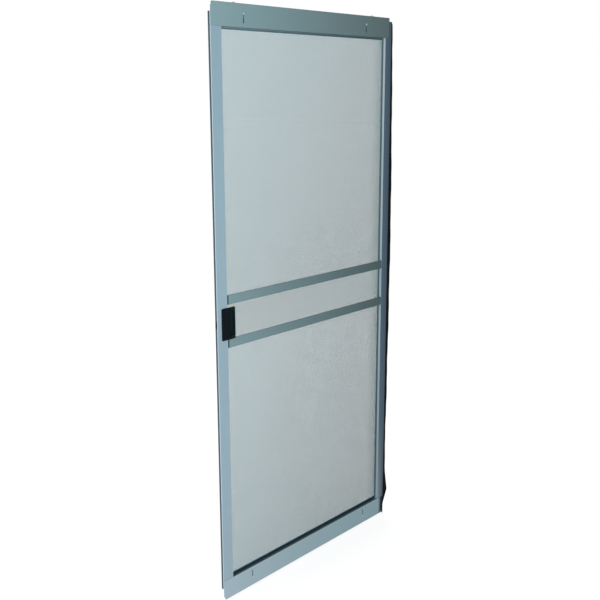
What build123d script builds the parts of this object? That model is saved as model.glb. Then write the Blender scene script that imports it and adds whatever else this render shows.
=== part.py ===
from build123d import *
import os

# A sliding screen door for a patio opening, seen from its outer side: X runs along the width, Y from
# the front to the back and Z up. The origin is at the middle of the bottom rail's lower edge, on the
# flat back face of the rail. All sizes are in millimetres.

# Frame
door_width = 914.0
door_height = 2003.0
frame_depth = 9.5
sheet = 0.8
bend = 0.6
rail_height = 72.3
latch_stile_width = 48.0
rear_stile_width = 36.0
left_edge = -door_width / 2
right_edge = door_width / 2
front = -frame_depth
opening_left = left_edge + latch_stile_width
opening_right = right_edge - rear_stile_width

# Rail ends stop short of the stiles' outer edges, and the stiles' outer walls run on beside them
rail_left = left_edge + 3.0
rail_right = right_edge - 14.0
rail_back_left = left_edge + 14.0
rail_back_right = right_edge - 25.0
rail_corner_cut = (8.0, 14.0)
latch_wall_ends = (45.0, 1973.0)
rear_wall_ends = (0.0, 1990.0)
latch_leg_width = 2.6
rear_leg_width = 12.0
overlap = 0.4

# Groove behind the inner edge of the frame, where a spline holds the screen: the bottom one is wider
groove_width = 5.4
foot_groove_width = 9.2
groove_floor = 4.6
lip_level = 0.5
lip_width = 2.5
bead_width = groove_width + lip_width
spline_front = -0.6
spline_slack = 0.1
spline_corner = 0.8

# Crossbars
crossbar_heights = {"lower": 908.0, "upper": 1055.0}
crossbar_height = 31.5
crossbar_front = front + 0.5
crossbar_back = -0.8
crossbar_left = opening_left + 4.0
crossbar_right = opening_right - 0.5
crossbar_lip = 7.0
clip_length = 14.0
clip_slack = 0.25
clip_tongue_inset = 5.0

# Roller units, placed by the middle of the wheel along each rail
wheel_radius = 12.0
wheel_width = 4.4
wheel_groove = 1.2
wheel_reach = 3.5
axle_height = wheel_radius - wheel_reach
axle_radius = 2.0
running_clearance = 0.05
seat_clearance = 0.01
hub_radius = 4.5
hub_width = 5.0
carrier_thickness = 7.0
carrier_outline = (
    (-15.0, 4.0), (-15.0, 25.0), (4.0, 44.0), (47.0, 44.0), (47.0, 20.0), (31.0, 4.0),
)
carrier_corner = 3.0
wheel_pocket_radius = 13.5
wheel_pocket_width = 5.2
screw_offset = 38.0
screw_height = 30.5
screw_radius = 2.0
screw_head_radius = 3.2
screw_head_height = 2.2
screw_head_gap = 0.15
slot_half_width = 2.3
slot_ends = (28.2, 59.0)
middle_depth = front / 2
roller_places = {
    ("bottom", "left"): left_edge + 104.0,
    ("bottom", "right"): left_edge + 817.0,
    ("top", "left"): left_edge + 104.0,
    ("top", "right"): left_edge + 799.0,
}

# Pulls on both faces of the latch stile
pull_outline = (left_edge + 20.0, left_edge + 80.0, 938.0, 1046.5)
pull_plate = 3.0
pull_corner = 5.0
pull_edge_round = 1.0
cup_wall = 1.5
cup_corner = 4.0
front_cup = (left_edge + 50.5, left_edge + 77.5, 948.0, 1036.5)
front_cup_floor = -1.7
back_pull_outline = (left_edge + 20.0, left_edge + 80.0, 938.0, 1039.0)
back_plate_level = 5.6
back_cup = (left_edge + 58.0, left_edge + 77.5, 948.0, 1029.0)
back_cup_floor = 1.2
back_pad = (left_edge + 21.0, left_edge + 46.5, 939.0, 1038.0)
pull_screw_x = left_edge + 30.0
pull_screw_heights = {"lower": 952.0, "upper": 1032.0}
boss_radius = 4.0
boss_hole_radius = 4.3
boss_end = -3.0
pull_screw_radius = 2.0
pull_screw_hole = 2.5
pull_screw_head_radius = 3.8
pull_screw_head_height = 2.0

# Latch: a rotary hook that comes out through the outer wall of the latch stile
latch_x = left_edge + 30.0
latch_z = 978.0
latch_case_outline = (left_edge + 0.9, left_edge + 46.5, 966.0, 1022.0)
latch_case_depth = (-8.4, -1.1)
hook_outer = 39.0
hook_inner = 34.0
hook_thickness = 2.4
hook_angles = (82.0, 134.0)
hook_turn = 50.0
hook_spoke_angles = (82.0, 94.0)
hook_tip_radius = 1.6
hook_hub_radius = 6.0
hook_pocket_slack = (0.8, 4.0)
hook_pocket_width = 3.2
latch_slot = (988.0, 1009.0)
latch_slot_width = 5.0
latch_pin_radius = 2.0
latch_pin_hole = 2.6
lever_hub_radius = 5.0
lever_hub_depth = (9.0, 13.8)
lever_thickness = 3.0
lever_length = 26.0
lever_width = 9.0

# Bug strip along the rear stile, as (height, reach past the stile): it bulges and has come loose at its foot
strip_base = 1.4
strip_fin_depth = (-8.2, -6.6)
strip_joint = 300.0
strip_top_corner = (1990.0, 1978.0)
strip_outline = (
    (1978.0, 6.4), (1680.0, 10.8), (1358.0, 18.4), (1136.0, 19.2), (790.0, 16.8), (430.0, 13.2), (300.0, 11.2),
    (185.0, 13.6), (94.0, 27.9),
)
strip_loose_foot = ((94.0, 27.9), (56.0, 11.0), (34.0, 3.6), (7.5, 1.6), (-8.0, 5.0))


def block(x_low, x_high, y_low, y_high, z_low, z_high):
    """A box between two corners."""
    size = (x_high - x_low, y_high - y_low, z_high - z_low)
    middle = ((x_low + x_high) / 2, (y_low + y_high) / 2, (z_low + z_high) / 2)
    return Pos(*middle) * Box(*size)


def folded_sheet(corners):
    """Section of a folded sheet, whose thickness lies to the left of the line through its corners."""
    points = [Vector(*corner) for corner in corners]
    ways = [(b - a).normalized() for a, b in zip(points, points[1:])]
    sides = [Vector(-way.Y, way.X) for way in ways]
    others = [points[0] + sides[0] * sheet]
    radii, other_radii = [], []
    for i in range(1, len(points) - 1):
        before, after = sides[i - 1], sides[i]
        others.append(points[i] + (before + after) * (sheet / (1 + before.dot(after))))
        turns_left = ways[i - 1].cross(ways[i]).Z > 0
        radii.append(bend + sheet if turns_left else bend)
        other_radii.append(bend if turns_left else bend + sheet)
    others.append(points[-1] + sides[-1] * sheet)
    outline = [
        FilletPolyline(*points, radius=radii),
        Line(points[-1], others[-1]),
        FilletPolyline(*others, radius=other_radii),
        Line(points[0], others[0]),
    ]
    return make_face([edge for line in outline for edge in line.edges()])


def along_x(section, x_low, x_high):
    """A section drawn as (depth, height), run along the width of the door."""
    plane = Plane(origin=(x_low, 0, 0), x_dir=(0, 1, 0), z_dir=(1, 0, 0))
    return extrude(plane * section, amount=x_high - x_low)


def along_z(section, z_low, z_high):
    """A section drawn as (width, depth), run up the height of the door."""
    return extrude(Plane.XY.offset(z_low) * section, amount=z_high - z_low)


def through(section, x, z, y_low, y_high):
    """A section drawn as (width, height) about a point, run from the front to the back."""
    plane = Plane(origin=(x, y_high, z), x_dir=(1, 0, 0), z_dir=(0, -1, 0))
    return extrude(plane * section, amount=y_high - y_low)


def rod(x, z, radius, y_low, y_high):
    """A round bar or hole through the thickness of the door."""
    return through(Circle(radius), x, z, y_low, y_high)


def rounded_plate(outline, y_low, y_high, corner):
    """A plate with rounded corners, flat against the door."""
    x_low, x_high, z_low, z_high = outline
    section = RectangleRounded(x_high - x_low, z_high - z_low, corner)
    return through(section, (x_low + x_high) / 2, (z_low + z_high) / 2, y_low, y_high)


def at_top(part):
    """Turns a piece of the bottom rail into its match on the top rail."""
    return Pos(0, 0, door_height) * mirror(part, about=Plane.XY)


def groove_of(edge):
    """The width of the spline's groove along an edge of the opening."""
    return foot_groove_width if edge == "bottom" else groove_width


def rail(edge):
    """A channel open along its outer edge, with the spline's groove along its inner edge."""
    top = rail_height
    groove_end = top + groove_of(edge)
    channel = along_x(folded_sheet([(0, 0), (0, top), (front, top), (front, 0)]), rail_back_left, rail_back_right)
    groove = folded_sheet([
        (lip_level, groove_end + lip_width),
        (lip_level, groove_end),
        (groove_floor, groove_end),
        (groove_floor, top),
        (front / 2, top),
    ])
    part = channel + along_x(groove, opening_left + bead_width, opening_right - bead_width)
    part += block(rail_left, rail_back_left, front, front + sheet, 0, top)
    part += block(rail_back_right, rail_right, front, front + sheet, 0, top)
    cut_x, cut_z = rail_corner_cut
    corner = make_face(Polyline((-1, -1), (cut_x, -1), (cut_x, 0), (0, cut_z), (-1, cut_z), close=True))
    part -= through(corner, rail_left, 0, front - 1, front + sheet + 1)
    slot_length = slot_ends[1] - slot_ends[0]
    slot = SlotOverall(slot_length, 2 * slot_half_width, rotation=90)
    for (rail_name, side), wheel_x in roller_places.items():
        if rail_name == edge:
            x = wheel_x + inward(side) * screw_offset
            part -= through(slot, x, sum(slot_ends) / 2, front - 1, front + sheet + 1)
    return part if edge == "bottom" else at_top(part)


def stile_tube(outer, width):
    """A closed tube between the rails, with the spline's groove inside."""
    inner = outer + width
    tube = folded_sheet([(inner - overlap, 0), (outer, 0), (outer, front), (inner, front), (inner, front / 2)])
    groove = folded_sheet([
        (inner, front / 2 - overlap),
        (inner, groove_floor),
        (inner + groove_width, groove_floor),
        (inner + groove_width, lip_level),
        (inner + bead_width, lip_level),
    ])
    return along_z(tube + groove, rail_height, door_height - rail_height)


def stile_edge(outer, leg_width, z_low, z_high):
    """The outer edge of a stile, a C section that runs on past the tube beside the rails."""
    leg = folded_sheet([(outer + leg_width, 0), (outer, 0), (outer, front), (outer + leg_width, front)])
    return along_z(leg, z_low, z_high)


def latch_stile():
    """The left stile, with its outer wall run on beside the rails and cut for the latch and pulls."""
    part = stile_tube(left_edge, latch_stile_width) + stile_edge(left_edge, latch_leg_width, *latch_wall_ends)
    half_slot = latch_slot_width / 2
    part -= block(left_edge - 1, left_edge + sheet + overlap, middle_depth - half_slot, middle_depth + half_slot,
                  *latch_slot)
    part -= rod(latch_x, latch_z, latch_pin_hole, -sheet - overlap, 1)
    for z in pull_screw_heights.values():
        part -= rod(pull_screw_x, z, boss_hole_radius, front - 1, front + sheet + overlap)
        part -= rod(pull_screw_x, z, pull_screw_hole, -sheet - overlap, 1)
    return part


def rear_stile():
    """The right stile, whose outer edge carries the bug strip."""
    return mirror(stile_tube(-right_edge, rear_stile_width), about=Plane.YZ)


def rear_stile_end(z_low, z_high):
    """An end of the right stile's outer edge, which runs on past the end of a rail."""
    return mirror(stile_edge(-right_edge, rear_leg_width, z_low, z_high), about=Plane.YZ)


def crossbar(z_low):
    """A C section open to the back, so that the screen lies behind it."""
    z_high = z_low + crossbar_height
    section = folded_sheet([
        (crossbar_back, z_high - crossbar_lip),
        (crossbar_back, z_high),
        (crossbar_front, z_high),
        (crossbar_front, z_low),
        (crossbar_back, z_low),
        (crossbar_back, z_low + crossbar_lip),
    ])
    return along_x(section, crossbar_left, crossbar_right)


def crossbar_clip(z_low, side):
    """A plug in the end of a crossbar, with a tongue that reaches the stile."""
    inset = sheet + clip_slack
    y_low = crossbar_front + inset
    y_high = crossbar_back - inset
    z_high = z_low + crossbar_height
    x_low, x_high = (crossbar_left, crossbar_left + clip_length)
    tongue = (opening_left, crossbar_left)
    if side == "right":
        x_low, x_high = (crossbar_right - clip_length, crossbar_right)
        tongue = (crossbar_right, opening_right)
    part = block(x_low, x_high, y_low, y_high, z_low + inset, z_high - inset)
    part += block(*tongue, y_low + 1, y_high - 1, z_low + clip_tongue_inset, z_high - clip_tongue_inset)
    return part


def screen_cloth():
    """The screen, taut across the opening and held down at its edges by the splines."""
    return block(opening_left + groove_width, opening_right - groove_width, 0, lip_level,
                 rail_height + foot_groove_width, door_height - rail_height - groove_width)


def splines():
    """The four lengths of soft cord pressed into the grooves."""
    width = groove_width - 2 * spline_slack
    foot_width = foot_groove_width - 2 * spline_slack
    depth = groove_floor - spline_slack - spline_front
    middle = spline_front + depth / 2
    half_groove = groove_width / 2
    low, high = rail_height, door_height - rail_height
    left, right = opening_left + bead_width, opening_right - bead_width
    upright = RectangleRounded(width, depth, spline_corner)
    level = RectangleRounded(depth, width, spline_corner)
    foot = RectangleRounded(depth, foot_width, spline_corner)
    return {
        "left_spline": along_z(Pos(opening_left + half_groove, middle) * upright, low, high),
        "right_spline": along_z(Pos(opening_right - half_groove, middle) * upright, low, high),
        "bottom_spline": along_x(Pos(middle, low + foot_groove_width / 2) * foot, left, right),
        "top_spline": along_x(Pos(middle, high - half_groove) * level, left, right),
    }


def inward(side):
    """The way along X from a roller's wheel to its clamp screw."""
    return 1 if side == "left" else -1


def carrier():
    """The moulded block that arches over a wheel and slides up and down in the rail."""
    y_low = middle_depth - carrier_thickness / 2
    y_high = middle_depth + carrier_thickness / 2
    outline = make_face(Polyline(*carrier_outline, close=True))
    part = through(fillet(outline.vertices(), carrier_corner), 0, 0, y_low, y_high)
    half_pocket = wheel_pocket_width / 2
    pocket = (middle_depth - half_pocket, middle_depth + half_pocket)
    part -= rod(0, axle_height, wheel_pocket_radius, *pocket)
    part -= block(-wheel_pocket_radius, wheel_pocket_radius, *pocket, 0, axle_height)
    part -= rod(0, axle_height, axle_radius + seat_clearance, y_low - 1, y_high + 1)
    part -= rod(screw_offset, screw_height, screw_radius + seat_clearance, y_low - 1, y_high + 1)
    return part


def wheel():
    """A grooved wheel that runs on the rib of the track."""
    rim = wheel_width / 2
    bore = axle_radius + running_clearance
    hub = hub_width / 2
    half = Polyline(
        (bore, -hub), (hub_radius, -hub), (hub_radius, -rim), (wheel_radius, -rim), (wheel_radius - wheel_groove, 0),
        (wheel_radius, rim), (hub_radius, rim), (hub_radius, hub), (bore, hub), close=True,
    )
    part = revolve(Plane.XY * make_face(half), axis=Axis.Y)
    return Pos(0, middle_depth, axle_height) * part


def axle():
    half = carrier_thickness / 2
    return rod(0, axle_height, axle_radius, middle_depth - half, middle_depth + half)


def clamp_screw():
    """The screw through the slot in the rail's face, which holds the carrier at its height."""
    head_back = front - screw_head_gap
    part = rod(screw_offset, screw_height, screw_head_radius, head_back - screw_head_height, head_back)
    part = fillet(part.edges().filter_by(GeomType.CIRCLE).group_by(Axis.Y)[0], screw_head_height / 2)
    return part + rod(screw_offset, screw_height, screw_radius, head_back, middle_depth + carrier_thickness / 2)


def roller_unit(edge, side):
    """One carrier, wheel, axle and clamp screw, in their place on a rail."""
    pieces = {"carrier": carrier(), "wheel": wheel(), "axle": axle(), "clamp_screw": clamp_screw()}
    placed = {}
    for name, part in pieces.items():
        if side == "right":
            part = mirror(part, about=Plane.YZ)
        part = Pos(roller_places[edge, side], 0, 0) * part
        placed[f"{edge}_{side}_{name}"] = part if edge == "bottom" else at_top(part)
    return placed


def cup(outline, y_open, y_floor, wall_way):
    """The outside and the hollow of a finger recess, open at y_open."""
    x_low, x_high, z_low, z_high = outline
    inside = (x_low + cup_wall, x_high - cup_wall, z_low + cup_wall, z_high - cup_wall)
    floor = y_floor - wall_way * cup_wall
    outer = rounded_plate(outline, *sorted((y_open, y_floor)), cup_corner)
    hollow = rounded_plate(inside, *sorted((y_open - wall_way, floor)), cup_corner - cup_wall)
    return outer, hollow


def front_pull():
    """The outer pull: a plate with a deep finger recess beside the stile."""
    part = rounded_plate(pull_outline, front - pull_plate, front, pull_corner)
    part = fillet(part.edges().group_by(Axis.Y)[0], pull_edge_round)
    outer, hollow = cup(front_cup, front - pull_plate + pull_edge_round, front_cup_floor, 1)
    part = part + outer - hollow - Pos(0, -pull_edge_round, 0) * hollow
    for z in pull_screw_heights.values():
        part += rod(pull_screw_x, z, boss_radius, front, boss_end)
        part -= rod(pull_screw_x, z, pull_screw_radius + seat_clearance, front - pull_plate / 2, boss_end + 1)
    return part


def back_pull():
    """The inner pull, which stands clear of the spline's groove on a pad."""
    outer_level = back_plate_level + pull_plate
    part = rounded_plate(back_pull_outline, back_plate_level, outer_level, pull_corner)
    part = fillet(part.edges().group_by(Axis.Y)[-1], pull_edge_round)
    part += rounded_plate(back_pad, 0, back_plate_level, pull_corner)
    outer, hollow = cup(back_cup, outer_level - pull_edge_round, back_cup_floor, -1)
    part = part + outer - hollow - Pos(0, pull_edge_round, 0) * hollow
    for z in pull_screw_heights.values():
        part -= rod(pull_screw_x, z, pull_screw_radius + seat_clearance, -1, outer_level + 1)
        part -= rod(pull_screw_x, z, pull_screw_head_radius + seat_clearance, outer_level - pull_screw_head_height,
                    outer_level + 1)
    return part - rod(latch_x, latch_z, latch_pin_hole, -1, outer_level + 1)


def pull_screw(z):
    outer_level = back_plate_level + pull_plate
    head_level = outer_level - pull_screw_head_height
    part = rod(pull_screw_x, z, pull_screw_head_radius, head_level, outer_level)
    return part + rod(pull_screw_x, z, pull_screw_radius, front - pull_plate / 2, head_level)


def latch_case():
    """The block inside the stile, with the round pocket that the hook turns in."""
    x_low, x_high, z_low, z_high = latch_case_outline
    part = block(x_low, x_high, *latch_case_depth, z_low, z_high)
    room, swing = hook_pocket_slack
    half = hook_pocket_width / 2
    pocket = sector(hook_outer + room, hook_angles[0] - swing, hook_angles[1] + hook_turn + swing)
    pocket += Circle(hook_hub_radius + room)
    part -= through(pocket, latch_x, latch_z, middle_depth - half, middle_depth + half)
    part -= rod(latch_x, latch_z, latch_pin_hole, middle_depth, 0)
    return part


def sector(radius, start, end):
    """A slice of a disc about the latch's pin."""
    arc = CenterArc((0, 0), radius, start, end - start)
    return make_face([*arc.edges(), *Line((0, 0), arc @ 0).edges(), *Line(arc @ 1, (0, 0)).edges()])


def latch_hook():
    """The hook: a curved nose on a spoke, which turns about its pin."""
    nose = sector(hook_outer, *hook_angles) - sector(hook_inner, *hook_angles)
    spoke = sector(hook_inner + overlap, *hook_spoke_angles)
    nose = fillet(nose.vertices().group_by(Axis.X)[0], hook_tip_radius)
    outline = nose + spoke + Circle(hook_hub_radius) - Circle(latch_pin_radius + seat_clearance)
    half = hook_thickness / 2
    return through(outline, latch_x, latch_z, middle_depth - half, middle_depth + half)


def latch_pin():
    return rod(latch_x, latch_z, latch_pin_radius, middle_depth - hook_thickness / 2, lever_hub_depth[1])


def thumb_lever():
    """The lever on the inside of the door, which hangs down while the hook is in."""
    hub_front, hub_back = lever_hub_depth
    part = rod(latch_x, latch_z, lever_hub_radius, hub_front, hub_back + lever_thickness)
    tab = SlotCenterPoint((0, 0), (0, -(lever_length - lever_width) / 2), lever_width)
    part += through(tab, latch_x, latch_z, hub_back, hub_back + lever_thickness)
    return part - rod(latch_x, latch_z, latch_pin_radius + seat_clearance, hub_front - 1, hub_back)


def bug_strip(length):
    """A flexible strip along the rear stile, which closes the gap to the glass door, in two lengths."""
    keep = Keep.TOP if length == "upper" else Keep.BOTTOM
    base = block(right_edge, right_edge + strip_base, front, 0, *rear_wall_ends)
    high, low = strip_top_corner
    corner = Line((right_edge + strip_base, high), (right_edge + strip_outline[0][1], low))
    edge = Spline([(right_edge + reach, z) for z, reach in strip_outline])
    loose_edge = Spline([(right_edge + reach, z) for z, reach in strip_loose_foot])
    inner = Polyline(loose_edge @ 1, (right_edge, strip_loose_foot[-1][0]), (right_edge, high), corner @ 0)
    outline = [part for line in (corner, edge, loose_edge, inner) for part in line.edges()]
    strip = base + through(make_face(outline), 0, 0, *strip_fin_depth)
    return split(strip, bisect_by=Plane.XY.offset(strip_joint), keep=keep)


def all_parts():
    parts = {
        "top_rail": rail("top"),
        "bottom_rail": rail("bottom"),
        "latch_stile": latch_stile(),
        "rear_stile": rear_stile(),
        "rear_stile_foot": rear_stile_end(rear_wall_ends[0], rail_height),
        "rear_stile_head": rear_stile_end(door_height - rail_height, rear_wall_ends[1]),
        "screen_cloth": screen_cloth(),
        "bug_strip": bug_strip("upper"),
        "bug_strip_foot": bug_strip("lower"),
        "front_pull": front_pull(),
        "back_pull": back_pull(),
        "latch_case": latch_case(),
        "latch_hook": latch_hook(),
        "latch_pin": latch_pin(),
        "thumb_lever": thumb_lever(),
    }
    parts.update(splines())
    for name, z_low in crossbar_heights.items():
        parts[f"{name}_crossbar"] = crossbar(z_low)
        for side in ("left", "right"):
            parts[f"{name}_crossbar_{side}_clip"] = crossbar_clip(z_low, side)
    for name, z in pull_screw_heights.items():
        parts[f"{name}_pull_screw"] = pull_screw(z)
    for edge, side in roller_places:
        parts.update(roller_unit(edge, side))
    return parts


if __name__ == "__main__":
    os.makedirs("parts", exist_ok=True)
    for name, part in all_parts().items():
        export_step(part, f"parts/{name}.step")
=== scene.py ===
import bmesh
import bpy
import math
from mathutils import Matrix, Vector


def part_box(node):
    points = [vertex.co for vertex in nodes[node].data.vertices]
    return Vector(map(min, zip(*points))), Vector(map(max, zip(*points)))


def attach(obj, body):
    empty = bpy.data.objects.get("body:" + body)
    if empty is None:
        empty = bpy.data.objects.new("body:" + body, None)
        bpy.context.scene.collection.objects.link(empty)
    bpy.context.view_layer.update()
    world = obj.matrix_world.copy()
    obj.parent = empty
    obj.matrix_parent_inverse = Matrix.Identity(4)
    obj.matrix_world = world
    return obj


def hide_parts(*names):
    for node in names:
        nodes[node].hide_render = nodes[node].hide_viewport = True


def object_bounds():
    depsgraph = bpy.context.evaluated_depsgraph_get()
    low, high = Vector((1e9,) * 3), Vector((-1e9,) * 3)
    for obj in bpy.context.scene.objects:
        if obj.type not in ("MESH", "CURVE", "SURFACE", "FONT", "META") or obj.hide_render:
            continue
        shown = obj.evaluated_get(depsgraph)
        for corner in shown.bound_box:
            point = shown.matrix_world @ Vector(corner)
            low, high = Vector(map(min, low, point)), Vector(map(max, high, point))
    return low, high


# The looks of a sliding screen door. All sizes are in metres, X along the width, Y to the back, Z up.

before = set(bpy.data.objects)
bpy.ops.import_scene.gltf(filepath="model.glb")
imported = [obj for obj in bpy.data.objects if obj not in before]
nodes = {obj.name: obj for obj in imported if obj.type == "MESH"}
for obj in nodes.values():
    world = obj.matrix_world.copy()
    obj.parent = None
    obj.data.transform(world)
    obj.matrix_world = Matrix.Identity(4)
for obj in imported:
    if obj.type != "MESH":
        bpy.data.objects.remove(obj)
cad_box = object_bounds()

# Camera
camera_place = (-2.3183, -2.0713, 1.7290)
camera_yaw = math.radians(47.639)
camera_pitch = math.radians(12.829)
camera_roll = math.radians(-0.164)
camera_lens = 52.83
camera_sensor = 36
camera_shift = -0.0097

# Light: the room's own light, and the floor's tone and glow, which together look as white as the room
room_light = 0.70
floor_tone = 0.50
floor_glow = 0.66
floor_size = 40.0
floor_gap = 0.0005

# Lamps: place, target, size and power
key_lamp = ((-2.7, -2.4, 1.2), (-0.1, 0, 0.9), (1.8, 2.2), 73)
fill_lamp = ((2.6, 2.4, 2.4), (0, 0, 1.0), (2.0, 2.0), 16)

# Frame: the bead beside the screen, the rounding of folded sheet and of other edges in the shading, and
# the places where the paint changes: a dark joint line, and otherwise painted highlights and painted shade
bead = 0.0079
sheet_bend = 0.0009
sharp_edge = 0.0005
bead_lightens = 0.003
joint_line = 0.0009
bend_highlight = 0.0024
wall_turns = 0.0005
hook_shade = (0.984, 1.008)
dark_rail_end = 0.009
dark_bar_end = 0.0009
foot_shade = (0.08, 0.42)
pull_edge = 0.016
top_spline_line = -0.0006

# Wear and dirt: how fine the clouds of tone, the dust, the scratches and the grain are, and what they change
large_clouds = 3.0
small_clouds = 38.0
large_share = 0.65
dust_specks = 160.0
scratches = 60.0
scratch_stretch = (0.25, 1, 9)
scratch_breaks = 9.0
paint_grain = 900.0
vinyl_grain = 700.0
pull_grain = 1500.0
rough_spread = 0.08
dirt_roughness = 0.3

# Screen: round wires, 18 upright and 16 level ones to the inch, swollen at the rear stile as painted shade
wire_radius = 0.00023
wire_sides = 6
inch = 0.0254
upright_pitch = inch / 18
level_pitch = inch / 16
wire_offset = 0.00004
shaded_width = 0.060
shade_swell = 0.36

# Painted shade on the wires: how much the height counts beside the width, and the band between the crossbars
height_share = 0.75
full_shade = 1.6
band_soft = 0.01
band_share = 0.8

# Screws: the head, the cross recess as shares of the head's radius and height, the shank and the turns
head_height = 0.0021
head_sides = 24
head_rounding = 0.6
recess_rim = 0.1
cross_reach = 0.5
cross_half = 0.14
cross_taper = 0.75
cross_depth = 0.55
shank_sides = 16
shank_tip = 0.0015
shank_root = 0.00195
first_clamp_turn = 17
next_clamp_turn = 31
first_pull_turn = 8
next_pull_turn = 37

# Splines: points round the cord, the groove between two ridges, and how square the groove presses it
spline_sides = 48
spline_groove = 0.93
spline_squareness = 0.45

# Bug strip: height and reach past the rear stile, down to its bulge and then along its loose foot
strip_depth = -0.0074
strip_thickness = 0.0012
strip_columns = 6
strip_rows = 420
strip_edge = (
    (1.990, 0.0024), (1.978, 0.0088), (1.680, 0.0148), (1.358, 0.0205), (1.136, 0.0218), (0.790, 0.0194),
    (0.430, 0.0154), (0.300, 0.0136), (0.185, 0.0150), (0.094, 0.0279),
)
strip_foot = ((0.094, 0.0279), (0.056, 0.0110), (0.034, 0.0036), (0.0075, 0.0016), (-0.008, 0.0050))

# Strip's waves: depth, radians to the metre and start, then the depth, height and span of its loose bulge
long_wave = (0.0007, 21.0, 0.0)
short_wave = (0.0004, 67.0, 1.0)
loose_depth = -0.0026
loose_height = 0.09
loose_span = 0.05

# Strip's base along the stile
base_thickness = 0.0014
base_clearance = 0.0004
base_rounding = 0.0005


def linear(red, green, blue):
    """A colour given on a 0 to 255 scale, as the shaders want it."""
    steps = [value / 255 for value in (red, green, blue)]
    return tuple(s / 12.92 if s <= 0.04045 else ((s + 0.055) / 1.055) ** 2.4 for s in steps) + (1.0,)


# Nodes of the materials

def new_material(name):
    """A new material, with its nodes and its shader."""
    material = bpy.data.materials.new(name)
    material.use_nodes = True
    return material, material.node_tree, material.node_tree.nodes["Principled BSDF"]


def add(tree, kind, settings=None, **inputs):
    """A shader node with its settings, and with its inputs set or linked by name."""
    node = tree.nodes.new(kind)
    for name, value in (settings or {}).items():
        setattr(node, name, value)
    for name, value in inputs.items():
        feed(tree, pick(node, name), value)
    return node


def pick(node, name):
    """The usable input with that name, written with low lines for spaces."""
    title = name.replace("_", " ")
    found = [socket for socket in node.inputs if socket.name == title and socket.enabled]
    return found[0]


def feed(tree, socket, value):
    """Links an output to a socket, or sets a plain value on it."""
    if isinstance(value, bpy.types.NodeSocket):
        tree.links.new(value, socket)
    else:
        socket.default_value = value


def join(tree, operation, first, second):
    """One step of arithmetic on two values."""
    node = tree.nodes.new("ShaderNodeMath")
    node.operation = operation
    feed(tree, node.inputs[0], first)
    feed(tree, node.inputs[1], second)
    return node.outputs[0]


def blend_colours(tree, mask, first, second, way="MIX"):
    """The first colour where the mask is 0, and the second where it is 1."""
    settings = {"data_type": "RGBA", "blend_type": way}
    return add(tree, "ShaderNodeMix", settings, Factor=mask, A=first, B=second).outputs[2]


def spread(tree, value, low, high, to_low=0.0, to_high=1.0):
    """A value carried from one range to another, held at both ends."""
    node = add(tree, "ShaderNodeMapRange", None, Value=value, From_Min=low, From_Max=high,
               To_Min=to_low, To_Max=to_high)
    return node.outputs[0]


def place_on_object(tree):
    """The place of a point on the object, and its three parts."""
    where = add(tree, "ShaderNodeTexCoord").outputs["Object"]
    parts = add(tree, "ShaderNodeSeparateXYZ", None, Vector=where).outputs
    return where, parts


def cloudy(tree, where, scale, detail, stretch=(1, 1, 1)):
    """Soft noise between 0 and 1."""
    mapped = add(tree, "ShaderNodeMapping", None, Vector=where, Scale=stretch).outputs[0]
    return add(tree, "ShaderNodeTexNoise", None, Vector=mapped, Scale=scale, Detail=detail).outputs[0]


def clouded(tree, colour, tone, share):
    """A colour that clouds of tone make darker and lighter by a share."""
    change = spread(tree, tone, 0.0, 1.0, 1.0 - share, 1.0 + share)
    grey = add(tree, "ShaderNodeCombineColor", None, Red=change, Green=change, Blue=change).outputs[0]
    return blend_colours(tree, 1.0, colour, grey, "MULTIPLY")


# Node groups that the finishes share

def shader_group(name, inputs, outputs):
    """An empty node group with named number inputs and outputs."""
    group = bpy.data.node_groups.new(name, "ShaderNodeTree")
    for title, value in inputs.items():
        socket = group.interface.new_socket(title, in_out="INPUT", socket_type="NodeSocketFloat")
        socket.default_value = value
    for title, kind in outputs.items():
        group.interface.new_socket(title, in_out="OUTPUT", socket_type=kind)
    return group, group.nodes.new("NodeGroupInput").outputs, group.nodes.new("NodeGroupOutput").inputs


def edge_group():
    """Rounds sharp edges in the shading, and marks them for wear."""
    flat, sharp = 0.995, 0.86
    whole, chipped = 0.48, 0.62
    group, given, result = shader_group(
        "worn_edges", {"Radius": sharp_edge, "Breakup": 220.0},
        {"Normal": "NodeSocketVector", "Edge": "NodeSocketFloat"})
    bevel = add(group, "ShaderNodeBevel", {"samples": 4}, Radius=given["Radius"])
    true_normal = add(group, "ShaderNodeNewGeometry").outputs["Normal"]
    dot = group.nodes.new("ShaderNodeVectorMath")
    dot.operation = "DOT_PRODUCT"
    group.links.new(bevel.outputs[0], dot.inputs[0])
    group.links.new(true_normal, dot.inputs[1])
    turned = spread(group, dot.outputs["Value"], flat, sharp)
    where, _ = place_on_object(group)
    noise = add(group, "ShaderNodeTexNoise", None, Vector=where, Scale=given["Breakup"], Detail=4.0)
    patches = spread(group, noise.outputs[0], whole, chipped)
    group.links.new(bevel.outputs[0], result["Normal"])
    group.links.new(join(group, "MULTIPLY", turned, patches), result["Edge"])
    return group


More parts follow.
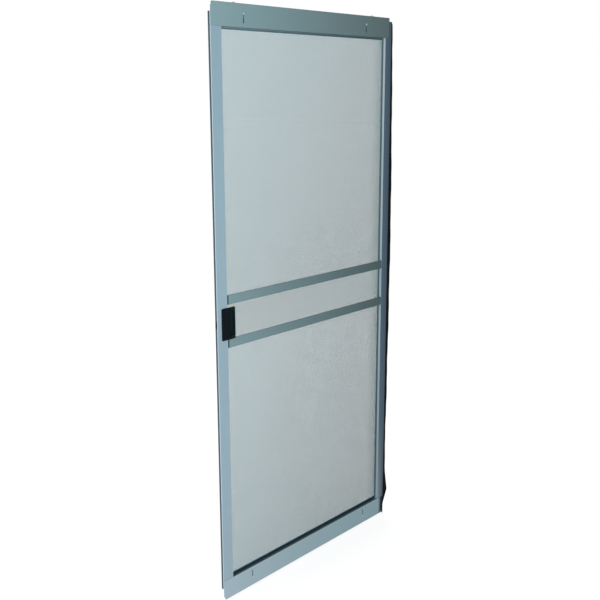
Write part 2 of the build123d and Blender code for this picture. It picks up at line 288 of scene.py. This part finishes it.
def weather_group():
    """Large and small clouds of tone, dust on ledges, and fine scuffs."""
    group, given, result = shader_group(
        "weather", {"Scale": 1.0},
        {"Tone": "NodeSocketFloat", "Dust": "NodeSocketFloat", "Scuffs": "NodeSocketFloat"})
    tone_range, ledge_range, speck_range = (0.3, 0.7), (0.35, 0.95), (0.35, 0.7)
    scratch_range, break_range = (0.66, 0.72), (0.5, 0.68)
    where, _ = place_on_object(group)
    scaled = add(group, "ShaderNodeVectorMath", {"operation": "SCALE"}, Vector=where,
                 Scale=given["Scale"]).outputs[0]
    large = join(group, "MULTIPLY", cloudy(group, scaled, large_clouds, 2.0), large_share)
    small = join(group, "MULTIPLY", cloudy(group, scaled, small_clouds, 4.0), 1 - large_share)
    group.links.new(spread(group, join(group, "ADD", large, small), *tone_range), result["Tone"])
    normal = add(group, "ShaderNodeNewGeometry").outputs["Normal"]
    upward = add(group, "ShaderNodeSeparateXYZ", None, Vector=normal).outputs["Z"]
    ledges = spread(group, upward, *ledge_range)
    specks = spread(group, cloudy(group, scaled, dust_specks, 5.0), *speck_range)
    group.links.new(join(group, "MULTIPLY", ledges, specks), result["Dust"])
    fine = spread(group, cloudy(group, scaled, scratches, 3.0, scratch_stretch), *scratch_range)
    broken = spread(group, cloudy(group, scaled, scratch_breaks, 2.0), *break_range)
    group.links.new(join(group, "MULTIPLY", fine, broken), result["Scuffs"])
    return group


def grain_group():
    """The fine grain of paint or moulded plastic, as a height."""
    group, given, result = shader_group("fine_grain", {"Scale": paint_grain}, {"Height": "NodeSocketFloat"})
    where, _ = place_on_object(group)
    noise = add(group, "ShaderNodeTexNoise", None, Vector=where, Scale=given["Scale"], Detail=2.0).outputs[0]
    group.links.new(noise, result["Height"])
    return group


groups = {"edges": edge_group(), "weather": weather_group(), "grain": grain_group()}


def use_group(tree, name, **inputs):
    """Places a shared group in a material, with the material's own values."""
    node = tree.nodes.new("ShaderNodeGroup")
    node.node_tree = groups[name]
    for title, value in inputs.items():
        node.inputs[title].default_value = value
    return node.outputs


# Colours that change over a piece, mostly painted light and shade

def colour_of(tree, colour):
    """A plain colour, or the output of the nodes that make one."""
    return colour(tree) if callable(colour) else colour


def along_width(left_colour, right_colour):
    """Paint whose tone changes from the left side of the door to the right: painted shade, darker to the
    right.
    """
    def nodes_of(tree):
        _, parts = place_on_object(tree)
        share = spread(tree, parts["X"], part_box("latch_stile")[0].x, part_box("rear_stile")[1].x)
        return blend_colours(tree, share, left_colour, right_colour)
    return nodes_of


def up_height(low_colour, high_colour):
    """Paint whose tone changes from the foot of the door to its head: painted light and shade."""
    def nodes_of(tree):
        _, parts = place_on_object(tree)
        share = spread(tree, parts["Z"], 0.0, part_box("top_rail")[1].z)
        return blend_colours(tree, share, low_colour, high_colour)
    return nodes_of


def across_stile(low_colours, high_colours):
    """Paint of the rear stile, from its inner edge to its outer one, at the foot and at the head, in painted
    shade.
    """
    def nodes_of(tree):
        _, parts = place_on_object(tree)
        low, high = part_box("rear_stile")
        share = spread(tree, parts["X"], low.x + bead, high.x)
        foot = blend_colours(tree, share, *low_colours)
        head = blend_colours(tree, share, *high_colours)
        return blend_colours(tree, spread(tree, parts["Z"], *foot_shade), foot, head)
    return nodes_of


def beyond(colour, axis, edge, other, soft=0.0001):
    """Paint that turns to another colour past an edge: above it, or below it where soft is negative."""
    def nodes_of(tree):
        _, parts = place_on_object(tree)
        past = spread(tree, parts[axis], edge - soft, edge + soft)
        return blend_colours(tree, past, colour_of(tree, colour), colour_of(tree, other))
    return nodes_of


def between(colour, axis, low, high, other, soft=0.0001):
    """Paint that turns to another colour in a band between two places along an axis."""
    def nodes_of(tree):
        _, parts = place_on_object(tree)
        after = spread(tree, parts[axis], low - soft, low + soft)
        before = spread(tree, parts[axis], high + soft, high - soft)
        band = join(tree, "MULTIPLY", after, before)
        return blend_colours(tree, band, colour_of(tree, colour), colour_of(tree, other))
    return nodes_of


# Finishes

def finish(name, colour, rough, metal=0.0, specular=0.5, edge_radius=sharp_edge, edge_colour=None,
           edge_share=0.6, tone_share=0.06, dust_share=0.25, grain_scale=paint_grain, grain_depth=0.00002):
    """A painted, moulded or plated surface. colour is a colour, or a function that makes its nodes."""
    material, tree, shader = new_material(name)
    weather = use_group(tree, "weather")
    edges = use_group(tree, "edges", Radius=edge_radius)
    base = clouded(tree, colour_of(tree, colour), weather["Tone"], tone_share)
    dust = join(tree, "MULTIPLY", weather["Dust"], dust_share)
    base = blend_colours(tree, dust, base, linear(176, 172, 162))
    if edge_colour:
        base = blend_colours(tree, join(tree, "MULTIPLY", edges["Edge"], edge_share), base, edge_colour)
    tree.links.new(base, shader.inputs["Base Color"])
    varied = spread(tree, weather["Tone"], 0, 1, rough - rough_spread, rough + rough_spread)
    dirt = join(tree, "ADD", dust, weather["Scuffs"])
    roughness = join(tree, "ADD", varied, join(tree, "MULTIPLY", dirt, dirt_roughness))
    tree.links.new(roughness, shader.inputs["Roughness"])
    shader.inputs["Metallic"].default_value = metal
    shader.inputs["Specular IOR Level"].default_value = specular
    grain = use_group(tree, "grain", Scale=grain_scale)
    bump = add(tree, "ShaderNodeBump", None, Height=grain["Height"], Distance=grain_depth, Strength=1.0,
               Normal=edges["Normal"])
    tree.links.new(bump.outputs[0], shader.inputs["Normal"])
    return material


def paint(name, colour, edge_radius=sheet_bend):
    """Satin paint on folded sheet, a little worn at its bends."""
    worn = linear(186, 196, 202)
    return finish(name, colour, 0.42, specular=0.22, edge_radius=edge_radius, edge_colour=worn,
                  edge_share=0.3, tone_share=0.03, dust_share=0.1)


def bottom_rail_paint():
    """Paint with painted shade in the gap and a joint line at the spline, and painted shade at its right end.
    """
    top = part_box("bottom_spline")[0].z
    # Painted shade: the ledge and gap above the rail's top edge are painted dark.
    colour = beyond(along_width(linear(160, 181, 191), linear(128, 158, 166)), "Z", top - 0.0001,
                    linear(30, 48, 56))
    # Painted shade at the rail's right end.
    colour = beyond(colour, "X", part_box("bottom_rail")[1].x - dark_rail_end, linear(10, 22, 32),
                    soft=0.008)
    return paint("bottom_rail_paint", between(colour, "Z", top - joint_line, top, linear(64, 78, 86)))


def latch_stile_paint():
    """Painted light on the bead, a painted highlight on the front bend, and painted shade on the outer wall
    and at the hook.
    """
    low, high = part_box("latch_stile")
    face = up_height(linear(148, 170, 184), linear(140, 169, 183))
    # Painted light: the bead beside the screen is painted lighter.
    colour = beyond(face, "X", high.x - bead - bead_lightens, linear(156, 176, 186), soft=0.0006)
    # Painted highlight along the rounded front bend.
    colour = between(colour, "X", low.x, low.x + bend_highlight, linear(206, 226, 234), soft=0.0003)
    # Painted shade on the outer wall, darkest round the hook's opening.
    wall = between(linear(70, 86, 98), "Z", *hook_shade, linear(10, 18, 24))
    return paint("latch_stile_paint", beyond(colour, "X", low.x + wall_turns, wall, soft=-0.0001))


def rear_stile_paint():
    """Paint darkened to the outer edge by painted shade, with a painted highlight on the inner wall by the
    screen.
    """
    foot = (linear(118, 136, 149), linear(36, 50, 58))
    head = (linear(67, 91, 108), linear(50, 70, 86))
    face = across_stile(foot, head)
    # Painted highlight: the inner wall beside the screen is painted light, where the light falls on it.
    wall = up_height(linear(160, 180, 190), linear(196, 212, 220))
    inner_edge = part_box("rear_stile")[0].x + bead + 0.0002
    colour = beyond(face, "X", inner_edge, wall, soft=-0.0001)
    return paint("rear_stile_paint", colour, edge_radius=sharp_edge)


def crossbar_paint():
    """Paint darkened to the right by painted shade, and dark at the bar's left end, where its clip shades it.
    """
    colour = along_width(linear(120, 148, 154), linear(55, 77, 80))
    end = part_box("upper_crossbar")[0].x + dark_bar_end
    return paint("crossbar_paint", beyond(colour, "X", end, linear(12, 40, 46), soft=-0.0002))


def spline_vinyl(name, colour, specular=0.1):
    """The soft vinyl of a spline."""
    return finish(name, colour, 0.55, specular=specular, dust_share=0.04, grain_scale=vinyl_grain)


def top_spline_vinyl():
    """Vinyl with painted light along its upper half, and painted shade that darkens it to the right."""
    low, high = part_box("top_spline")
    lower = along_width(linear(108, 126, 134), linear(62, 80, 84))
    upper = along_width(linear(136, 158, 165), linear(90, 110, 114))
    line = (low.z + high.z) / 2 + top_spline_line
    return spline_vinyl("top_spline", beyond(lower, "Z", line, upper, soft=0.0008))


def pull_plastic():
    """Grained moulded plastic, with a faint painted highlight along its right edge."""
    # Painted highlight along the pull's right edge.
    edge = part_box("front_pull")[1].x - pull_edge
    return finish("pull_plastic", beyond(linear(8, 17, 21), "X", edge, linear(20, 33, 36), soft=0.004), 0.5,
                  specular=0.045, edge_colour=linear(56, 66, 70), edge_share=0.3, dust_share=0.06,
                  grain_scale=pull_grain, grain_depth=0.00003)


def wire_finish():
    """Coated screen wire, darker to the right and low down by painted shade, with a faint change of tone over
    the screen.
    """
    material, tree, shader = new_material("screen_wire")
    weather = use_group(tree, "weather", Scale=0.8)
    _, parts = place_on_object(tree)
    low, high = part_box("screen_cloth")
    rightward = spread(tree, parts["X"], low.x, high.x)
    downward = spread(tree, parts["Z"], high.z, low.z, 0.0, height_share)
    shade = spread(tree, join(tree, "ADD", rightward, downward), 0.0, full_shade)
    base = blend_colours(tree, shade, linear(98, 151, 159), linear(2, 73, 80))
    # Painted shade: a darker band of wire between the crossbars.
    band_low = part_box("lower_crossbar")[1].z
    band_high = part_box("upper_crossbar")[0].z
    above = spread(tree, parts["Z"], band_low, band_low + band_soft)
    below = spread(tree, parts["Z"], band_high, band_high - band_soft, 0.0, band_share)
    base = blend_colours(tree, join(tree, "MULTIPLY", above, below), base, linear(0, 92, 98))
    tree.links.new(clouded(tree, base, weather["Tone"], 0.06), shader.inputs["Base Color"])
    shader.inputs["Roughness"].default_value = 0.6
    shader.inputs["Specular IOR Level"].default_value = 0.2
    return material


def make_finishes():
    """All finishes of the door, by short names."""
    return {
        "bottom_rail": bottom_rail_paint(),
        # The top rail is painted darker to the right, as painted shade.
        "top_rail": paint("top_rail_paint", along_width(linear(129, 160, 167), linear(77, 98, 100))),
        "latch_stile": latch_stile_paint(),
        "rear_stile": rear_stile_paint(),
        # Painted shade: the rear stile's foot is the same steel, painted dark for the shade it stands in.
        "dark_leg": finish("dark_leg_paint", linear(22, 34, 44), 0.5, specular=0.04, tone_share=0.03,
                           dust_share=0.05),
        "crossbar": crossbar_paint(),
        "strip": spline_vinyl("black_vinyl", linear(7, 13, 17), specular=0.03),
        "spline": spline_vinyl("grey_spline", linear(92, 110, 117)),
        "top_spline": top_spline_vinyl(),
        "shaded_spline": spline_vinyl("shaded_spline", linear(24, 42, 50), specular=0.06),
        "pull": pull_plastic(),
        "plastic": finish("black_plastic", linear(8, 26, 31), 0.6, specular=0.04, dust_share=0.05),
        "hook": finish("latch_steel", linear(60, 62, 64), 0.38, metal=0.9, edge_colour=linear(150, 150, 148)),
        "plated": finish("plated_steel", linear(190, 204, 208), 0.42, metal=0.8, tone_share=0.1),
        "roller": finish("roller_plastic", linear(104, 124, 130), 0.5, specular=0.2),
        "nylon": finish("wheel_nylon", linear(222, 220, 210), 0.4, tone_share=0.05),
        "wire": wire_finish(),
    }


def dress(names, material):
    """Gives CAD pieces their finish."""
    for name in names:
        for slot in nodes[name].material_slots:
            slot.link = "OBJECT"
            slot.material = material


def all_ending(end):
    """The names of all CAD pieces that end in the same word."""
    return [name for name in nodes if name.endswith(end)]


# Meshes

def new_object(name, mesh):
    """A new object in the scene, made from a bmesh."""
    data = bpy.data.meshes.new(name)
    mesh.to_mesh(data)
    mesh.free()
    made = bpy.data.objects.new(name, data)
    bpy.context.scene.collection.objects.link(made)
    return made


def vertices_of(geometry):
    """The vertices among the parts that an operator gives back."""
    return [item for item in geometry if isinstance(item, bmesh.types.BMVert)]


def smooth_faces(piece, angle=40):
    """Shades a piece smoothly, apart from edges sharper than the angle."""
    for face in piece.data.polygons:
        face.use_smooth = True
    mesh = bmesh.new()
    mesh.from_mesh(piece.data)
    for edge in mesh.edges:
        if edge.is_manifold and edge.calc_face_angle() > math.radians(angle):
            edge.smooth = False
    mesh.to_mesh(piece.data)
    mesh.free()


# Camera, light and floor

def aim_camera():
    """The camera at the photograph's place, turned by its yaw, pitch and roll."""
    data = bpy.data.cameras.new("camera")
    data.lens = camera_lens
    data.sensor_width = camera_sensor
    data.shift_y = camera_shift
    camera = bpy.data.objects.new("camera", data)
    turn = Matrix.Rotation(-camera_yaw, 4, "Z") @ Matrix.Rotation(math.pi / 2 - camera_pitch, 4, "X")
    camera.matrix_world = Matrix.Translation(camera_place) @ turn @ Matrix.Rotation(camera_roll, 4, "Z")
    bpy.context.scene.collection.objects.link(camera)
    bpy.context.scene.camera = camera


def soft_lamp(name, place, target, size, power):
    """A large soft lamp that shines from its place to a target."""
    data = bpy.data.lights.new(name, "AREA")
    data.shape = "RECTANGLE"
    data.size, data.size_y = size
    data.energy = power
    lamp = bpy.data.objects.new(name, data)
    lamp.location = place
    way = Vector(target) - Vector(place)
    lamp.rotation_euler = way.to_track_quat("-Z", "Y").to_euler()
    lamp.visible_camera = False
    bpy.context.scene.collection.objects.link(lamp)


def seen_mask(tree):
    """1 where the camera, a reflection or glass sees the surface, and 0 where it only lights others."""
    path = add(tree, "ShaderNodeLightPath")
    seen = join(tree, "MAXIMUM", path.outputs["Is Camera Ray"], path.outputs["Is Glossy Ray"])
    return join(tree, "MAXIMUM", seen, path.outputs["Is Transmission Ray"])


def pale_world():
    """A room that looks white and lights the door with a plain even light."""
    world = bpy.data.worlds.new("pale_room")
    world.use_nodes = True
    bpy.context.scene.world = world
    tree = world.node_tree
    background = tree.nodes["Background"]
    background.inputs["Color"].default_value = (1, 1, 1, 1)
    mix = add(tree, "ShaderNodeMix", {"data_type": "FLOAT"}, Factor=seen_mask(tree), A=room_light, B=1.0)
    tree.links.new(mix.outputs[0], background.inputs["Strength"])


def pale_floor():
    """A wide pale floor just under the lowest part of the door."""
    mesh = bmesh.new()
    bmesh.ops.create_grid(mesh, x_segments=1, y_segments=1, size=floor_size)
    bmesh.ops.translate(mesh, vec=(0, 0, cad_box[0][2] - floor_gap), verts=mesh.verts)
    floor = new_object("floor", mesh)
    material, tree, shader = new_material("pale_floor")
    shader.inputs["Base Color"].default_value = (floor_tone, floor_tone, floor_tone, 1)
    shader.inputs["Roughness"].default_value = 0.9
    shader.inputs["Specular IOR Level"].default_value = 0.0
    shader.inputs["Emission Color"].default_value = (1, 1, 1, 1)
    glow = join(tree, "MULTIPLY", seen_mask(tree), floor_glow)
    tree.links.new(glow, shader.inputs["Emission Strength"])
    floor.data.materials.append(material)


# Screen

def add_wires(mesh, along, low, high, pitch, depth):
    """A row of straight wires along X or Z, evenly spaced between two corners of the screen."""
    across = "z" if along == "x" else "x"
    length = getattr(high, along) - getattr(low, along)
    room = getattr(high, across) - getattr(low, across)
    count = int((room - 2 * wire_radius) / pitch)
    margin = (room - (count - 1) * pitch) / 2
    first = bmesh.ops.create_cone(mesh, cap_ends=True, segments=wire_sides, radius1=wire_radius,
                                  radius2=wire_radius, depth=length)["verts"]
    if along == "x":
        bmesh.ops.rotate(mesh, verts=first, matrix=Matrix.Rotation(math.pi / 2, 3, "Y"))
    middle = (low + high) / 2
    middle.y = depth
    setattr(middle, across, getattr(low, across) + margin)
    bmesh.ops.translate(mesh, verts=first, vec=middle)
    faces = list({face for vert in first for face in vert.link_faces})
    step = Vector((pitch, 0, 0)) if across == "x" else Vector((0, 0, pitch))
    for index in range(1, count):
        wire = vertices_of(bmesh.ops.duplicate(mesh, geom=faces)["geom"])
        # The upright wires near the rear stile swell thicker: painted shade, made of wire.
        share = 1 - (room - margin - index * pitch) / shaded_width
        if across == "x" and share > 0:
            swell = 1 + shade_swell * share
            bmesh.ops.scale(mesh, verts=wire, vec=(swell, swell, 1), space=Matrix.Translation(-middle))
        bmesh.ops.translate(mesh, verts=wire, vec=step * index)


def screen(material):
    """The wires of the screen, in the place of its CAD slab."""
    low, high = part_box("screen_cloth")
    middle = (low.y + high.y) / 2
    mesh = bmesh.new()
    add_wires(mesh, "z", low, high, upright_pitch, middle + wire_offset)
    add_wires(mesh, "x", low, high, level_pitch, middle - wire_offset)
    cloth = new_object("screen_wires", mesh)
    cloth.data.materials.append(material)
    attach(cloth, "frame")
    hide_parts("screen_cloth")


# Screws

def cross_spot(index, reach, half):
    """The corner of a cross recess that stands for one of the points round the head."""
    quarter, step = divmod(index, head_sides // 4)
    middle = (reach + half) / 2
    spots = ((reach, 0), (reach, half), (middle, half), (half, half), (half, middle), (half, reach))
    spot = Vector((*spots[step], 0))
    spot.rotate(Matrix.Rotation(quarter * math.pi / 2, 3, "Z"))
    return spot


def screw_head(mesh, radius):
    """A round head with a cross recess, facing up, with its top at height 0."""
    bmesh.ops.create_cone(mesh, cap_ends=True, segments=head_sides, radius1=radius, radius2=radius,
                          depth=head_height)
    bmesh.ops.translate(mesh, verts=mesh.verts, vec=(0, 0, -head_height / 2))
    mesh.normal_update()
    rim = [edge for edge in mesh.edges if all(vert.co.z > -1e-6 for vert in edge.verts)]
    bmesh.ops.bevel(mesh, geom=rim, offset=head_height * head_rounding, segments=3, profile=0.5,
                    affect="EDGES", material=-1)
    mesh.normal_update()
    top = max((face for face in mesh.faces if face.normal.z > 0.99), key=lambda face: face.calc_area())
    bmesh.ops.inset_individual(mesh, faces=[top], thickness=radius * recess_rim)
    for vert in top.verts:
        angle = math.atan2(vert.co.y, vert.co.x) % math.tau
        index = round(angle / math.tau * head_sides) % head_sides
        spot = cross_spot(index, radius * cross_reach, radius * cross_half)
        vert.co.x, vert.co.y = spot.x, spot.y
    recess = bmesh.ops.extrude_discrete_faces(mesh, faces=[top])["faces"][0]
    bmesh.ops.scale(mesh, verts=recess.verts, vec=(cross_taper, cross_taper, 1))
    bmesh.ops.translate(mesh, verts=recess.verts, vec=(0, 0, -head_height * cross_depth))


def screw(node, body, material, turn, faces_front=True):
    """A screw with a cross recess, turned by some degrees, in the place of its CAD solid."""
    low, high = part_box(node)
    middle = (low + high) / 2
    mesh = bmesh.new()
    screw_head(mesh, (high.x - low.x) / 2)
    length = high.y - low.y - head_height
    shank = bmesh.ops.create_cone(mesh, cap_ends=True, segments=shank_sides, radius1=shank_tip,
                                  radius2=shank_root, depth=length)["verts"]
    bmesh.ops.translate(mesh, verts=shank, vec=(0, 0, -head_height - length / 2))
    bmesh.ops.rotate(mesh, verts=mesh.verts, matrix=Matrix.Rotation(math.radians(turn), 3, "Z"))
    way = 1 if faces_front else -1
    bmesh.ops.rotate(mesh, verts=mesh.verts, matrix=Matrix.Rotation(way * math.pi / 2, 3, "X"))
    bmesh.ops.translate(mesh, verts=mesh.verts, vec=(middle.x, low.y if faces_front else high.y, middle.z))
    piece = new_object(node + "_with_recess", mesh)
    smooth_faces(piece)
    piece.data.materials.append(material)
    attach(piece, body)
    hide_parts(node)


# Splines

def ribbed_spline(node, along, material):
    """Soft cord with ridges along it, squeezed square in its groove."""
    low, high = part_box(node)
    middle = (low + high) / 2
    size = high - low
    mesh = bmesh.new()
    ring = bmesh.ops.create_circle(mesh, cap_ends=True, radius=1.0, segments=spline_sides)["verts"]
    for index, vert in enumerate(ring):
        ridge = 1.0 if index % 2 else spline_groove
        vert.co.x = math.copysign(abs(vert.co.x) ** spline_squareness, vert.co.x) * ridge
        vert.co.y = math.copysign(abs(vert.co.y) ** spline_squareness, vert.co.y) * ridge
    across = size.z if along == "x" else size.x
    length = size.x if along == "x" else size.z
    bmesh.ops.scale(mesh, verts=mesh.verts, vec=(across / 2, size.y / 2, 1))
    end = vertices_of(bmesh.ops.extrude_face_region(mesh, geom=mesh.faces[:])["geom"])
    bmesh.ops.translate(mesh, verts=end, vec=(0, 0, length))
    bmesh.ops.translate(mesh, verts=mesh.verts, vec=(0, 0, -length / 2))
    if along == "x":
        bmesh.ops.rotate(mesh, verts=mesh.verts, matrix=Matrix.Rotation(math.pi / 2, 3, "Y"))
    bmesh.ops.translate(mesh, verts=mesh.verts, vec=middle)
    bmesh.ops.recalc_face_normals(mesh, faces=mesh.faces[:])
    piece = new_object(node + "_ribbed", mesh)
    piece.data.materials.append(material)
    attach(piece, "frame")
    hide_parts(node)


# Bug strip

def smooth_line(points, height):
    """The reach at a height of a smooth line down through the points."""
    index = next((i for i in range(len(points) - 1) if points[i + 1][0] <= height), len(points) - 2)
    (top, first), (foot, second) = points[index], points[index + 1]
    before = points[max(index - 1, 0)]
    after = points[min(index + 2, len(points) - 1)]
    run = foot - top
    leave = (second - before[1]) / (foot - before[0]) * run
    arrive = (after[1] - first) / (after[0] - top) * run
    share = min(max((height - top) / run, 0.0), 1.0)
    square, cube = share ** 2, share ** 3
    return ((2 * cube - 3 * square + 1) * first + (cube - 2 * square + share) * leave
            + (3 * square - 2 * cube) * second + (cube - square) * arrive)


def strip_wave(height):
    """How far the strip's free edge stands to the back or front at a height."""
    waves = [depth * math.sin(height * speed + start) for depth, speed, start in (long_wave, short_wave)]
    loose = loose_depth * math.exp(-((height - loose_height) / loose_span) ** 2)
    return sum(waves) + loose


def add_fin(mesh, edge_x):
    """The thin fin that waves along its free edge and has come loose at its foot."""
    head, foot = strip_edge[0][0], strip_foot[-1][0]
    grid = bmesh.ops.create_grid(mesh, x_segments=strip_columns, y_segments=strip_rows, size=0.5)["verts"]
    for vert in grid:
        share = vert.co.x + 0.5
        height = foot + (head - foot) * (vert.co.y + 0.5)
        reach = smooth_line(strip_edge if height > strip_foot[0][0] else strip_foot, height)
        vert.co = (edge_x + share * reach, strip_depth + share ** 2 * strip_wave(height), height)
    bmesh.ops.recalc_face_normals(mesh, faces=mesh.faces[:])
    bmesh.ops.solidify(mesh, geom=mesh.faces[:], thickness=strip_thickness)


def add_base(mesh, edge_x):
    """The base that holds the fin along the whole stile."""
    base = bmesh.ops.create_cube(mesh, size=1.0)["verts"]
    low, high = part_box("rear_stile_foot"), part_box("rear_stile_head")
    span = high[1].z - low[0].z
    depth = low[1].y - low[0].y
    middle = (edge_x + base_thickness / 2, (low[0].y + low[1].y) / 2, low[0].z + span / 2)
    bmesh.ops.scale(mesh, verts=base, vec=(base_thickness, depth - base_clearance, span))
    bmesh.ops.translate(mesh, verts=base, vec=middle)
    edges = list({edge for vert in base for edge in vert.link_edges})
    bmesh.ops.bevel(mesh, geom=edges, offset=base_rounding, segments=2, profile=0.5, affect="EDGES",
                    material=-1)


def bug_strip(material):
    """The flexible strip along the outer edge of the rear stile, in the place of its two CAD lengths."""
    edge_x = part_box("bug_strip")[0].x
    mesh = bmesh.new()
    add_fin(mesh, edge_x)
    add_base(mesh, edge_x)
    piece = new_object("bug_strip_fin", mesh)
    smooth_faces(piece)
    piece.data.materials.append(material)
    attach(piece, "frame")
    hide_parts("bug_strip", "bug_strip_foot")


# The scene

bpy.context.scene.view_settings.view_transform = "Standard"
aim_camera()
pale_world()
pale_floor()
soft_lamp("key", *key_lamp)
soft_lamp("fill", *fill_lamp)

finishes = make_finishes()
for name in ("bottom_rail", "top_rail", "latch_stile"):
    dress([name], finishes[name])
dress(["rear_stile", "rear_stile_head"], finishes["rear_stile"])
# The rear stile's foot takes the painted shade of the dark leg.
dress(["rear_stile_foot"], finishes["dark_leg"])
dress(["upper_crossbar", "lower_crossbar"], finishes["crossbar"])
dress(["front_pull", "back_pull", "thumb_lever"], finishes["pull"])
dress(all_ending("_clip") + ["latch_case"], finishes["plastic"])
dress(["latch_hook"], finishes["hook"])
dress(all_ending("_axle") + ["latch_pin"], finishes["plated"])
dress(all_ending("_carrier"), finishes["roller"])
dress(all_ending("_wheel"), finishes["nylon"])

screen(finishes["wire"])
for side in ("left", "right"):
    ribbed_spline(side + "_spline", "z", finishes["spline"])
ribbed_spline("top_spline", "x", finishes["top_spline"])
ribbed_spline("bottom_spline", "x", finishes["shaded_spline"])
bug_strip(finishes["strip"])
for number, name in enumerate(all_ending("_clamp_screw")):
    turn = first_clamp_turn + next_clamp_turn * number
    screw(name, name.replace("clamp_screw", "roller"), finishes["plated"], turn)
for number, name in enumerate(all_ending("_pull_screw")):
    turn = first_pull_turn + next_pull_turn * number
    screw(name, "frame", finishes["plated"], turn, faces_front=False)
